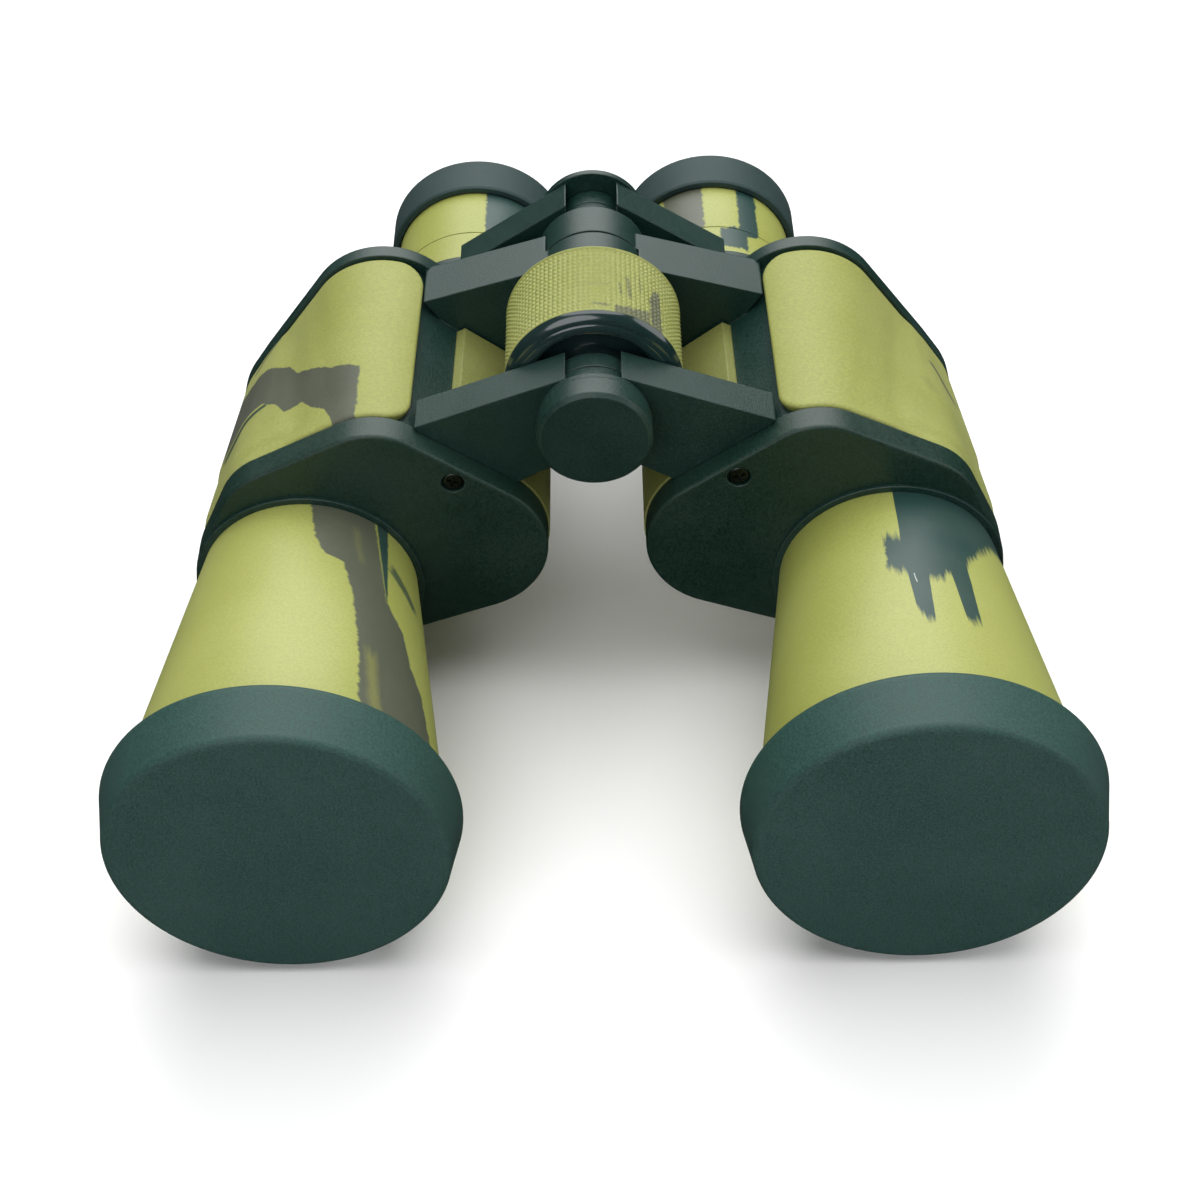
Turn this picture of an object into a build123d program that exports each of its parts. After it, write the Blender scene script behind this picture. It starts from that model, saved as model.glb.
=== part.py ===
from build123d import *
import math
import os

# Porro-prism binoculars with objective caps on. Millimetres, +Z up.
# The optical axes run along Y, objectives towards -Y. While it is built, the central hinge
# axis is the line X = 0, Z = 0; the whole is then stood with its lowest, middle point at zero.

# ---- optical layout, left half (X, Z) ----
objective_axis = (-58.4, -37.6)
eyepiece_axis = (-26.8, -29.1)
fold_axis = (-46.85, -17.55)       # where the beam runs between the two prisms

# ---- prism housing ----
housing_lobes = [                  # discs (X, Z, radius) the outline wraps, at the front and at the rear
    ((*objective_axis, 23.3), (*objective_axis, 18.8)),
    ((-34.5, -57.5, -7.0), (-35.2, -55.5, -7.0)),
    ((*eyepiece_axis, 17.0), (*eyepiece_axis, 17.0)),
    ((-43.5, -13.5, 13.8), (-44.5, -13.5, 15.8)),
    ((-60.5, -23.5, 15.3), (-57.5, -31.0, 15.8)),
]
front_face = -42.5
front_plate_back = -36.5
rear_plate_front = 14.0
rear_face = 18.0
armour_bed = 1.5                   # depth of the bed that the rubber lies in
armour_proud = 0.3
housing_wall = 2.2
rear_plate_grow = 0.8              # the rear plate stands a little proud all round
groove = 0.3
armour_corner_r = 6.0
strip_outer = (-36.0, -3.2)        # the bare metal strip beside the arms, on the slanted side
strip_inner = (-29.0, -8.4)
belly_gap = [(-38.5, -70), (-41.5, -70), (-45, -30), (-35, -30)]  # between the panels, underneath
plate_edge_r = 0.8
seat_fit = 0.05                    # between the arms and the cover plates
through = (-60.0, 60.0)            # Y span of a cut that goes right through

# ---- central hinge ----
bridge_front = (-37.5, -29.2)
bridge_rear = (2.5, 14.5)
front_top = (11.28, 0.373)         # height over the axis and slope of an arm's top
rear_top = (9.4, 0.29)
arm_foot = (-7.3, 0.577)           # the same for an arm's underside
arm_end_x = (-35.0, -22.0, -1.5)   # top outer, bottom outer and inner ends of an arm
front_cut = (-50.0, -20.0)         # Y spans that clear the whole front or rear bridge
rear_cut = (-10.0, 30.0)
rear_split = 8.9                   # where the two rear knuckles meet
front_knuckle_r = 9.0
rear_knuckle_r = 11.3
notch_half = 5.4                   # half width of the gap between the two arms
knuckle_gap = 0.3
arm_gap = 0.35
run_fit = 0.07
collar_r = 10.9
collar_front = -39.3
bush_r = 5.5
tube_r = 8.8
tube_bore_r = 6.88
tube_front = -4.4
pin_rear = -25.0
hinge_cap_r = 11.2
hinge_cap_front = -44.9
hinge_cap_bevel = 0.8
hinge_cap_top = 1.6
hinge_cap_gap = 0.2
boss_r = 8.5
boss_front = -42.8
socket_r = 3.175                   # 1/4 inch tripod thread
socket_depth = 11.0

# ---- focusing ----
wheel_r = 17.7
wheel_rear = -5.0
wheel_front = -27.0
wheel_lip = -28.85
lip_inner_r = 12.6
lip_crest_r = 13.9
lip_outer_r = 15.2
recess_floor = -24.5
recess_floor_r = (7.6, 11.8)
wheel_hub_front = -28.4
wheel_hub_r = 7.0
wheel_thread_rear = -22.6
wheel_bore_rear = 1.0
bore_relief = 0.3
grip_t = 1.6
rim_step = 0.6
spindle_r = 6.8
screw_r = 4.0
spindle_front = -18.9
spindle_step = 6.0
spindle_chamfer = 0.6
ocular_bridge = (22.0, 30.4)
ocular_hub_r = 7.0
ocular_ring_r = 20.2
ocular_top = (12.6, 0.655)
ocular_arm_x = (-28.5, -1.0)
ocular_arm_foot = [(-11.0, -17.0), (-1.0, -7.5)]
end_disc_r = 11.2
end_disc_t = 2.0
end_disc_edge_r = 0.8

# ---- objective ----
barrel_rear_r = 21.8
barrel_front_r = 29.6
barrel_land_r = 29.9
barrel_land = -101.5
barrel_end = -112.6
barrel_wall = 1.8
spigot_r = 19.5
joint_ring_r = 23.1
joint_ring_t = 0.8
lens_r = 27.0
lens_seat = -97.0
crown_edges, crown_sags = (-106.0, -101.5), (2.2, 2.0)
flint_edges, flint_sags = (-101.5, -97.6), (-2.0, 0.6)
retainer = (-110.1, -106.4)
retainer_t = 1.6
barrel_chamfer = 0.6
cap_front = -115.4
cap_rear = -103.2
cap_front_r = 31.6
cap_rear_r = 33.2
cap_wall = 2.0
cap_bore_r = 30.0
cap_edge_r = 1.6
cap_shoulder = 1.8
hinge_height = cap_rear_r - objective_axis[1]   # stands on the caps

# ---- eyepiece ----
ocular_r = 18.4
ocular_bore_r = 16.48
guide_r = 16.4
guide_end = 34.0
ocular_front = 24.0
seam = 42.2
seam_gap = 0.25
head_rear = 58.2
cell_front = 40.0
cell_rear = 60.0
cell_bore_r = 14.5
cell_flange = 2.0
field_lens_edges, field_lens_sags = (42.4, 44.6), (0.8, 1.2)
eye_lens_edges, eye_lens_sags = (51.4, 56.0), (1.4, 1.0)
spacer_span = (44.9, 51.0)
spacer_t = 1.5
cell_ring_span = (40.3, 42.1)
cell_ring_t = 1.6
eye_window_r = 12.0
cup_front = 57.7
cup_rear = 69.5
cup_r = 20.2
cup_skirt_t = 1.5
cup_rim_r = 1.2
cup_mouth_r = 17.0
cup_floor_t = 1.8

# ---- prisms ----
prism_length = 43.0
prism_width = 18.0
shelf_rear = -10.0
shelf_t = 1.5
beam_r = 8.0
prism_ridge_half = 1.5             # half width of the flat ground along the ridge
clip_width = 6.0
clip_t = 0.6
clip_slack = 0.25

# ---- cover screws (X, Z) ----
screw_head_r = 2.0
screw_shank_r = 1.2
screw_length = 7.0
screw_head_t = 1.2
screw_sink = 0.4
screw_edge_r = 0.4
screw_fit = 0.35
screw_turn = 20
cross_slot = (2.4, 1.2, 0.45)
front_screws = [(-27.9, -11.9)]
rear_screws = [(-46.9, -2.9), (-73.0, -34.8), (-44.5, -49.0)]
screw_boss_r = 2.6
screw_boss_depth = 8.0


def belt(discs, grow=0.0):
    """Outline round discs (x, z, r), taken anticlockwise; a negative radius bends it inward."""
    discs = [(x, z, r + grow) for x, z, r in discs]
    normals = []
    for (x1, z1, r1), (x2, z2, r2) in zip(discs, discs[1:] + discs[:1]):
        heading = math.atan2(z2 - z1, x2 - x1)
        normals.append(heading - math.acos((r1 - r2) / math.hypot(x2 - x1, z2 - z1)))
    edges = []
    for i, (x, z, r) in enumerate(discs):
        turn = (normals[i] - normals[i - 1]) % (2 * math.pi)
        if r < 0:
            turn -= 2 * math.pi
        angles = [normals[i - 1], normals[i - 1] + turn / 2, normals[i - 1] + turn]
        arc = [(x + r * math.cos(a), z + r * math.sin(a)) for a in angles]
        if edges:
            edges.append(Line(edges[-1] @ 1, arc[0]))
        edges.append(ThreePointArc(*arc))
    edges.append(Line(edges[-1] @ 1, edges[0] @ 0))
    return make_face(edges)


def slab(face, y0, y1):
    """Solid with this X-Z outline between two Y planes."""
    return extrude(Plane.XZ.offset(-y1) * face, amount=y1 - y0)


def disc(centre, r, y0, y1):
    return slab(Pos(*centre) * Circle(r), y0, y1)


def turned(profile, centre=(0, 0)):
    """Solid turned about an axis along Y, from (radius, y) points."""
    face = make_face(Polyline(*profile, close=True))
    return Pos(centre[0], 0, centre[1]) * revolve(face, Axis.Y)


def ring(centre, r_out, r_in, y0, y1):
    return disc(centre, r_out, y0, y1) - disc(centre, r_in, y0, y1)


def housing_outline(grow, y):
    """Housing's outline at a given Y; it tapers evenly from the front plate to the rear one."""
    part = (y - front_plate_back) / (rear_plate_front - front_plate_back)
    return belt(
        [tuple(a + (b - a) * part for a, b in zip(front, rear)) for front, rear in housing_lobes],
        grow,
    )


def tapered(grow, y0=front_plate_back, y1=rear_plate_front, beyond=0.0):
    """Solid that follows the housing's taper, carried on past both ends where it is a cutter."""
    spots = (y0 - beyond, y1 + beyond)
    return loft([Plane.XZ.offset(-y) * housing_outline(grow, y) for y in spots], ruled=True)


# ---- central hinge arms ----
def arm_web(top_height, top_slope, y0, y1, margin=0.0):
    """Left arm's plate: sloping top strip, deeper towards the hinge."""
    outer_x, bottom_x, inner_x = arm_end_x
    bottom_height, bottom_slope = arm_foot
    points = [
        (inner_x, top_height + inner_x * top_slope + margin),
        (outer_x, top_height + outer_x * top_slope + margin),
        (bottom_x, bottom_height + bottom_x * bottom_slope - margin),
        (inner_x, bottom_height + inner_x * bottom_slope - margin),
    ]
    return slab(make_face(Polyline(*points, close=True)), y0 - margin, y1 + margin)


def notch():
    """Gap between the two arms, open at the top."""
    return Box(2 * notch_half, 200, 40, align=(Align.CENTER, Align.CENTER, Align.MIN))


def bridge_arm(top, span, knuckle_r, knuckle_span, opposite_span, notched):
    """One half's arm with its knuckle; opposite_span is where the other half's knuckle turns."""
    arm = arm_web(*top, *span)
    if notched:
        arm -= notch()
    arm -= disc((0, 0), knuckle_r + arm_gap, *opposite_span)
    return arm + disc((0, 0), knuckle_r, *knuckle_span)


def housing(side):
    """Left-hand housing shell with both arms; side picks which knuckles it carries."""
    front_mid = (bridge_front[0] + bridge_front[1]) / 2
    fore = (collar_front, front_mid - knuckle_gap / 2)
    aft = (front_mid + knuckle_gap / 2, bridge_front[1])
    near = (bridge_rear[0], rear_split - knuckle_gap)
    far = (rear_split + knuckle_gap, rear_face)
    shell = tapered(-armour_bed)
    if side == "left":
        opposite = (front_mid, front_cut[1])
        arms = bridge_arm(front_top, bridge_front, front_knuckle_r, fore, opposite, True)
        arms += disc((0, 0), collar_r, collar_front, bridge_front[0] - knuckle_gap)
        opposite = (rear_split, rear_cut[1])
        arms += bridge_arm(rear_top, bridge_rear, rear_knuckle_r, near, opposite, False)
        fit = 0
    else:
        opposite = (front_cut[0], front_mid)
        arms = bridge_arm(front_top, bridge_front, front_knuckle_r, aft, opposite, True)
        opposite = (rear_cut[0], rear_split)
        arms += bridge_arm(rear_top, bridge_rear, rear_knuckle_r, far, opposite, False)
        fit = run_fit
    arms -= slab(housing_outline(seat_fit, front_plate_back), through[0], front_plate_back)
    rear_seat = housing_outline(rear_plate_grow + seat_fit, rear_plate_front)
    arms -= slab(rear_seat, rear_plate_front, through[1])
    body = shell + arms - tapered(-armour_bed - housing_wall, beyond=1)
    body -= disc((0, 0), bush_r + fit, *front_cut) + disc((0, 0), tube_r + fit, *rear_cut)
    body += screw_bosses()
    for place in front_screws + rear_screws:
        body -= disc(place, screw_shank_r, *through)
    return body


def screw_bosses():
    """Pads inside the housing wall that the cover screws bite into."""
    bed = tapered(-armour_bed)
    pads = Part()
    for place in front_screws:
        end = front_plate_back + screw_boss_depth
        pads += disc(place, screw_boss_r, front_plate_back, end)
    for place in rear_screws:
        start = rear_plate_front - screw_boss_depth
        pads += disc(place, screw_boss_r, start, rear_plate_front)
    return pads & bed


def front_plate():
    plate = slab(housing_outline(0, front_plate_back), front_face, front_plate_back)
    plate = fillet(plate.edges().group_by(Axis.Y)[0], plate_edge_r)
    plate -= disc(objective_axis, spigot_r, *through)
    for place in front_screws:
        plate -= screw_hole(place, front_face)
    return plate


def rear_plate():
    plate = slab(housing_outline(rear_plate_grow, rear_plate_front), rear_plate_front, rear_face)
    plate = fillet(plate.edges().group_by(Axis.Y)[-1], plate_edge_r)
    plate -= disc(eyepiece_axis, guide_r, *through)
    plate -= disc((0, 0), rear_knuckle_r + arm_gap, *through)
    for place in rear_screws:
        plate -= mirror(screw_hole(place, -rear_face), Plane.XZ)
    return plate


def screw(place, face_y):
    """Small cross-head screw, its head just below a face that looks towards -Y."""
    top = face_y + screw_sink
    under = top + screw_head_t
    body = disc(place, screw_head_r, top, under)
    body = fillet(body.edges().group_by(Axis.Y)[0], screw_edge_r)
    body += disc(place, screw_shank_r, under, top + screw_length)
    for turn in (screw_turn, screw_turn + 90):
        slot = Rot(0, turn, 0) * Box(*cross_slot)
        body -= Pos(place[0], top, place[1]) * slot
    return body


def screw_hole(place, face_y):
    hole = disc(place, screw_head_r + screw_fit, face_y, face_y + screw_sink + screw_head_t)
    return hole + disc(place, screw_shank_r, *through)


def cover_screws():
    front = [screw(place, front_face) for place in front_screws]
    rear = [mirror(screw(place, -rear_face), Plane.XZ) for place in rear_screws]
    return Compound(children=front + rear)


# ---- rubber armour ----
def corner_cut(edge_y, inward):
    """What rounds the outer panel's corner beside the bare strip, seen from above."""
    r = armour_corner_r
    depth = 20
    overlap = 0.4
    block = Box(r, r, depth, align=(Align.MIN, Align.MIN, Align.CENTER)) - Cylinder(r, depth)
    if inward > 0:
        block = mirror(block, Plane.XZ)
    return Pos(strip_outer[0] + overlap - r, edge_y + inward * r, 0) * block


def armour():
    """Outer and inner rubber panels, clear of the arms and of the bare strip between them."""
    y0 = front_plate_back + groove
    y1 = rear_plate_front - groove
    skin = tapered(armour_proud, y0, y1) - tapered(-armour_bed, beyond=1)
    bare_strip = [strip_outer, (-28, 12), (12, 12), strip_inner, (-40, -22)]
    for gap in (bare_strip, belly_gap):
        skin -= slab(make_face(Polyline(*gap, close=True)), *through)
    parts = sorted(skin.solids(), key=lambda s: s.center().X)
    outer, inner = parts[0], parts[-1]
    outer -= corner_cut(y0, 1) + corner_cut(y1, -1)
    for top, span in ((front_top, bridge_front), (rear_top, bridge_rear)):
        inner -= arm_web(*top, *span, margin=0.6)
    return outer, inner


# ---- objective ----
def barrel():
    """Conical tube with a threaded spigot behind and a straight land for the cap in front."""
    back = front_face - joint_ring_t
    rear_bore = spigot_r - barrel_wall
    profile = [
        (spigot_r, front_plate_back),
        (spigot_r, back),
        (barrel_rear_r, back),
        (barrel_front_r, barrel_land),
        (barrel_land_r, barrel_land - barrel_chamfer),
        (barrel_land_r, barrel_end + barrel_chamfer),
        (barrel_land_r - barrel_chamfer, barrel_end),
        (lens_r, barrel_end),
        (lens_r, lens_seat),
        (lens_r - barrel_wall, lens_seat),
        (rear_bore, back - barrel_wall),
        (rear_bore, front_plate_back),
    ]
    return turned(profile, objective_axis)


def joint_ring():
    return ring(objective_axis, joint_ring_r, spigot_r, front_face - joint_ring_t, front_face)


def dome(r, sag, edge_y, outward):
    """Arc from the rim to the axis, bulging along outward by sag, or hollow where sag is negative."""
    sphere_r = (r * r + sag * sag) / (2 * abs(sag))
    half_rise = math.sqrt(sphere_r**2 - r * r / 4) - sphere_r + abs(sag)
    half_rise = math.copysign(half_rise, sag)
    return ThreePointArc(
        (r, edge_y), (r / 2, edge_y + outward * half_rise), (0, edge_y + outward * sag)
    )


def lens(centre, r, sags, edge_front, edge_rear):
    """Lens with spherical faces; sags are how far the front and rear faces bulge."""
    front = dome(r, sags[0], edge_front, -1)
    rear = dome(r, sags[1], edge_rear, 1)
    rim = Line((r, edge_front), (r, edge_rear))
    axis_line = Line(front @ 1, rear @ 1)
    return Pos(centre[0], 0, centre[1]) * revolve(make_face([front, rim, rear, axis_line]), Axis.Y)


def objective_lenses():
    """Cemented pair: a convex crown in front of a flint."""
    crown = lens(objective_axis, lens_r, crown_sags, *crown_edges)
    flint = lens(objective_axis, lens_r, flint_sags, *flint_edges)
    return crown, flint


def retaining_ring():
    front, rear = retainer
    profile = [
        (lens_r, rear),
        (lens_r, front + barrel_chamfer),
        (lens_r - barrel_chamfer, front),
        (lens_r - retainer_t, front),
        (lens_r - retainer_t, rear),
    ]
    body = turned(profile, objective_axis)
    slot = Box(4 * retainer_t, retainer_t, retainer_t)
    for side in (-1, 1):
        body -= Pos(objective_axis[0] + side * lens_r, front, objective_axis[1]) * slot
    return body


def objective_cap():
    """Slip-on cap: flat front, rounded edge, side swelling towards its rear shoulder."""
    inner_face = cap_front + cap_wall
    edge_start = (cap_front_r - cap_edge_r, cap_front)
    edge_end = (cap_front_r, cap_front + cap_edge_r)
    shoulder_start = (cap_rear_r, cap_rear - cap_shoulder)
    shoulder_middle = (cap_rear_r - cap_shoulder * 0.22, cap_rear - cap_shoulder * 0.28)
    shoulder_end = (cap_rear_r - cap_shoulder * 0.78, cap_rear)
    outline = [
        Line((0, cap_front), edge_start),
        RadiusArc(edge_start, edge_end, -cap_edge_r),
        Line(edge_end, shoulder_start),
        ThreePointArc(shoulder_start, shoulder_middle, shoulder_end),
        Polyline(
            shoulder_end,
            (cap_bore_r, cap_rear),
            (cap_bore_r, inner_face),
            (0, inner_face),
            (0, cap_front),
        ),
    ]
    return Pos(objective_axis[0], 0, objective_axis[1]) * revolve(make_face(outline), Axis.Y)


# ---- prisms ----
def ridge_line(foot, flat, rise):
    """Points up one slope, over a flat ridge and down the other."""
    return [(foot, 0), (flat, rise), (-flat, rise), (-foot, 0)]


def prism(start, end, hypotenuse_y, direction):
    """Right-angle prism with rounded ends; direction is +1 where its ridge is rearward."""
    middle = ((start[0] + end[0]) / 2, (start[1] + end[1]) / 2)
    heading = math.degrees(math.atan2(end[1] - start[1], end[0] - start[0]))
    half = prism_length / 2
    section = Polyline(*ridge_line(half, prism_ridge_half, half - prism_ridge_half), close=True)
    body = extrude(make_face(section), amount=prism_width / 2, both=True)
    body &= slab(SlotOverall(prism_length, prism_width), -1, half + 1)
    if direction < 0:
        body = mirror(body, Plane.XZ)
    return Pos(middle[0], hypotenuse_y, middle[1]) * (Rot(0, -heading, 0) * body)


def prism_clip(start, end, shelf_y, direction):
    """Thin spring strap over a prism's ridge, its feet on the shelf."""
    middle = ((start[0] + end[0]) / 2, (start[1] + end[1]) / 2)
    heading = math.degrees(math.atan2(end[1] - start[1], end[0] - start[0]))
    foot = prism_length / 2 + clip_slack
    flat = prism_ridge_half + clip_slack
    rise = prism_length / 2 - prism_ridge_half + clip_slack
    inside = ridge_line(foot, flat, rise)
    outside = ridge_line(foot + clip_t * 1.5, flat, rise + clip_t)
    section = make_face(Polyline(*outside, *reversed(inside), close=True))
    body = extrude(section, amount=clip_width / 2, both=True)
    if direction < 0:
        body = mirror(body, Plane.XZ)
    return Pos(middle[0], shelf_y, middle[1]) * (Rot(0, -heading, 0) * body)


def prism_shelf():
    shelf = tapered(-armour_bed - housing_wall) & disc((0, 0), 120, shelf_rear - shelf_t, shelf_rear)
    for centre in (objective_axis, fold_axis, eyepiece_axis):
        shelf -= disc(centre, beam_r, *through)
    return shelf


# ---- eyepiece ----
def eyepiece_guide():
    """Fixed sleeve on the rear plate that the focusing tube slides over."""
    return ring(eyepiece_axis, guide_r, guide_r - barrel_wall, rear_plate_front, guide_end)


def ocular_tube():
    return ring(eyepiece_axis, ocular_r, ocular_bore_r, ocular_front, seam - seam_gap / 2)


def ocular_head():
    """Outer ring above the seam; on the right it turns to set the dioptre correction."""
    return ring(eyepiece_axis, ocular_r, ocular_bore_r, seam + seam_gap / 2, head_rear)


def eyepiece_cell():
    profile = [
        (guide_r, cell_front),
        (guide_r, cell_rear),
        (eye_window_r, cell_rear),
        (eye_window_r, cell_rear - cell_flange),
        (cell_bore_r, cell_rear - cell_flange),
        (cell_bore_r, cell_front),
    ]
    return turned(profile, eyepiece_axis)


def eyecup():
    """Rubber cup with a skirt over the head and a soft rolled rim."""
    floor = cell_rear + cup_floor_t
    skirt_r = cup_r - cup_skirt_t
    rim_outer = (cup_r, cup_rear - cup_rim_r)
    rim_top = (cup_r - cup_rim_r, cup_rear)
    rim_inner = (cup_r - 2 * cup_rim_r, cup_rear - cup_rim_r)
    start = (eye_window_r, cell_rear)
    outline = [
        Polyline(
            start,
            (skirt_r, cell_rear),
            (skirt_r, cup_front),
            (cup_r - 0.3, cup_front),
            (cup_r, cup_front + 0.6),
            rim_outer,
        ),
        ThreePointArc(rim_outer, rim_top, rim_inner),
        Polyline(rim_inner, (cup_mouth_r, floor), (eye_window_r, floor), start),
    ]
    return Pos(eyepiece_axis[0], 0, eyepiece_axis[1]) * revolve(make_face(outline), Axis.Y)


def ocular_arm(side):
    """Arm of the focusing bridge: ring round the eyepiece, plate, and its own knuckle."""
    y0, y1 = ocular_bridge
    middle = (y0 + y1) / 2
    height, slope = ocular_top
    outer_x, inner_x = ocular_arm_x
    top = [(inner_x, height + slope * inner_x), (outer_x, height + slope * outer_x)]
    arm = slab(make_face(Polyline(*top, eyepiece_axis, *ocular_arm_foot, close=True)), y0, y1)
    arm += disc(eyepiece_axis, ocular_ring_r, y0, y1)
    arm -= notch()
    arm -= disc(eyepiece_axis, ocular_r, y0, y1)
    own, other = (y0, middle - knuckle_gap / 2), (middle - knuckle_gap / 2, y1)
    bore = screw_r
    if side == "right":
        own, other = (middle + knuckle_gap / 2, y1), (y0, middle + knuckle_gap / 2)
        bore = screw_r + run_fit
    arm -= disc((0, 0), ocular_hub_r + arm_gap, *other)
    arm += disc((0, 0), ocular_hub_r, *own)
    return arm - disc((0, 0), bore, y0, y1)


# ---- pieces on the hinge axis ----
def socket_bush():
    """Hinge pin for the front bridge with the tripod thread in its front boss."""
    profile = [
        (socket_r, boss_front + socket_depth),
        (socket_r, boss_front),
        (boss_r, boss_front),
        (boss_r, collar_front),
        (bush_r, collar_front),
        (bush_r, bridge_front[1]),
        (screw_r, bridge_front[1]),
        (screw_r, pin_rear),
        (0, pin_rear),
        (0, boss_front + socket_depth),
    ]
    return turned(profile)


def hinge_cap():
    """Cap over the tripod socket: plain disc with a small bevel and a hollow for the boss."""
    inner_face = hinge_cap_front + hinge_cap_top
    rear = collar_front - hinge_cap_gap
    profile = [
        (0, hinge_cap_front),
        (hinge_cap_r - hinge_cap_bevel, hinge_cap_front),
        (hinge_cap_r, hinge_cap_front + hinge_cap_bevel),
        (hinge_cap_r, rear),
        (boss_r + run_fit, rear),
        (boss_r + run_fit, inner_face),
        (0, inner_face),
    ]
    return turned(profile)


def hinge_tube():
    return ring((0, 0), tube_r, tube_bore_r, tube_front, rear_face)


def focus_wheel():
    """Wheel core: rounded glossy front lip, recess, hub and a journal that runs in the tube."""
    bore = screw_r + run_fit
    relief = screw_r + bore_relief
    core_r = wheel_r - grip_t
    lip_inner = (lip_inner_r, wheel_lip + 0.8)
    lip_outer = (lip_outer_r, wheel_lip + 0.3)
    lip_rear = (wheel_r - 0.1, wheel_front)
    outline = [
        Polyline(
            (relief, wheel_thread_rear),
            (bore, wheel_thread_rear),
            (bore, wheel_hub_front),
            (wheel_hub_r, wheel_hub_front),
            (recess_floor_r[0], recess_floor),
            (recess_floor_r[1], recess_floor),
            lip_inner,
        ),
        ThreePointArc(lip_inner, (lip_crest_r, wheel_lip), lip_outer),
        ThreePointArc(lip_outer, (wheel_r - 0.8, wheel_lip + 1.0), lip_rear),
        Polyline(
            lip_rear,
            (core_r, wheel_front),
            (core_r, wheel_rear - rim_step),
            (wheel_r - 0.4, wheel_rear - rim_step),
            (wheel_r - 1.2, wheel_rear + 0.4),
            (tube_r + 1.6, wheel_rear + 0.4),
            (tube_r + 1.6, wheel_rear),
            (spindle_r, wheel_rear),
            (spindle_r, wheel_bore_rear),
            (relief, wheel_bore_rear),
            (relief, wheel_thread_rear),
        ),
    ]
    return revolve(make_face(outline), Axis.Y)


def wheel_grip():
    return ring((0, 0), wheel_r, wheel_r - grip_t, wheel_front, wheel_rear - rim_step)


def focus_spindle():
    """Screw that the wheel drives: thin threaded front, thick guide, journal for the arms."""
    profile = [
        (0, spindle_front),
        (screw_r - spindle_chamfer, spindle_front),
        (screw_r, spindle_front + spindle_chamfer),
        (screw_r, spindle_step - spindle_chamfer),
        (spindle_r, spindle_step),
        (spindle_r, ocular_bridge[0]),
        (screw_r, ocular_bridge[0]),
        (screw_r, ocular_bridge[1] + knuckle_gap),
        (0, ocular_bridge[1] + knuckle_gap),
    ]
    return turned(profile)


def end_disc():
    """Rounded disc screwed to the spindle's end, behind the arms."""
    front = ocular_bridge[1] + knuckle_gap
    body = disc((0, 0), end_disc_r, front, front + end_disc_t)
    return fillet(body.edges().group_by(Axis.Y)[-1], end_disc_edge_r)


# ---- assembly ----
def left_half_pieces():
    """Pieces that both halves have, in their left-hand form."""
    outer_armour, inner_armour = armour()
    crown, flint = objective_lenses()
    shelf_front = shelf_rear - shelf_t
    clips = [
        prism_clip(objective_axis, fold_axis, shelf_rear, 1),
        prism_clip(fold_axis, eyepiece_axis, shelf_front, -1),
    ]
    return {
        "front_plate": front_plate(),
        "rear_plate": rear_plate(),
        "outer_armour": outer_armour,
        "inner_armour": inner_armour,
        "objective_barrel": barrel(),
        "barrel_joint_ring": joint_ring(),
        "objective_crown_lens": crown,
        "objective_flint_lens": flint,
        "objective_retaining_ring": retaining_ring(),
        "objective_cap": objective_cap(),
        "rear_prism": prism(objective_axis, fold_axis, shelf_rear, 1),
        "front_prism": prism(fold_axis, eyepiece_axis, shelf_front, -1),
        "prism_clips": Compound(children=clips),
        "prism_shelf": prism_shelf(),
        "cover_screws": cover_screws(),
        "eyepiece_guide": eyepiece_guide(),
        "eyepiece_tube": ocular_tube(),
        "eyepiece_head": ocular_head(),
        "eyepiece_cell": eyepiece_cell(),
        "field_lens": lens(eyepiece_axis, cell_bore_r, field_lens_sags, *field_lens_edges),
        "lens_spacer": ring(eyepiece_axis, cell_bore_r, cell_bore_r - spacer_t, *spacer_span),
        "eye_lens": lens(eyepiece_axis, cell_bore_r, eye_lens_sags, *eye_lens_edges),
        "cell_retaining_ring": ring(eyepiece_axis, cell_bore_r, cell_bore_r - cell_ring_t, *cell_ring_span),
        "eyecup": eyecup(),
    }


pieces = {}
for name, shape in left_half_pieces().items():
    pieces["left_" + name] = shape
    pieces["right_" + name] = mirror(shape, Plane.YZ)
pieces["right_dioptre_ring"] = pieces.pop("right_eyepiece_head")
pieces["left_prism_housing"] = housing("left")
pieces["right_prism_housing"] = mirror(housing("right"), Plane.YZ)
pieces["left_ocular_arm"] = ocular_arm("left")
pieces["right_ocular_arm"] = mirror(ocular_arm("right"), Plane.YZ)
pieces["tripod_socket_pin"] = socket_bush()
pieces["hinge_cap"] = hinge_cap()
pieces["hinge_tube"] = hinge_tube()
pieces["focus_wheel"] = focus_wheel()
pieces["focus_wheel_grip"] = wheel_grip()
pieces["focus_spindle"] = focus_spindle()
pieces["ocular_bridge_disc"] = end_disc()

os.makedirs("parts", exist_ok=True)
stand = Pos(0, -(cap_front + cup_rear) / 2, hinge_height)
for name, shape in pieces.items():
    export_step(stand * shape, f"parts/{name}.step")
print(len(pieces), "nodes")
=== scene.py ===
import math
import bpy
from mathutils import Matrix, Vector


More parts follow.
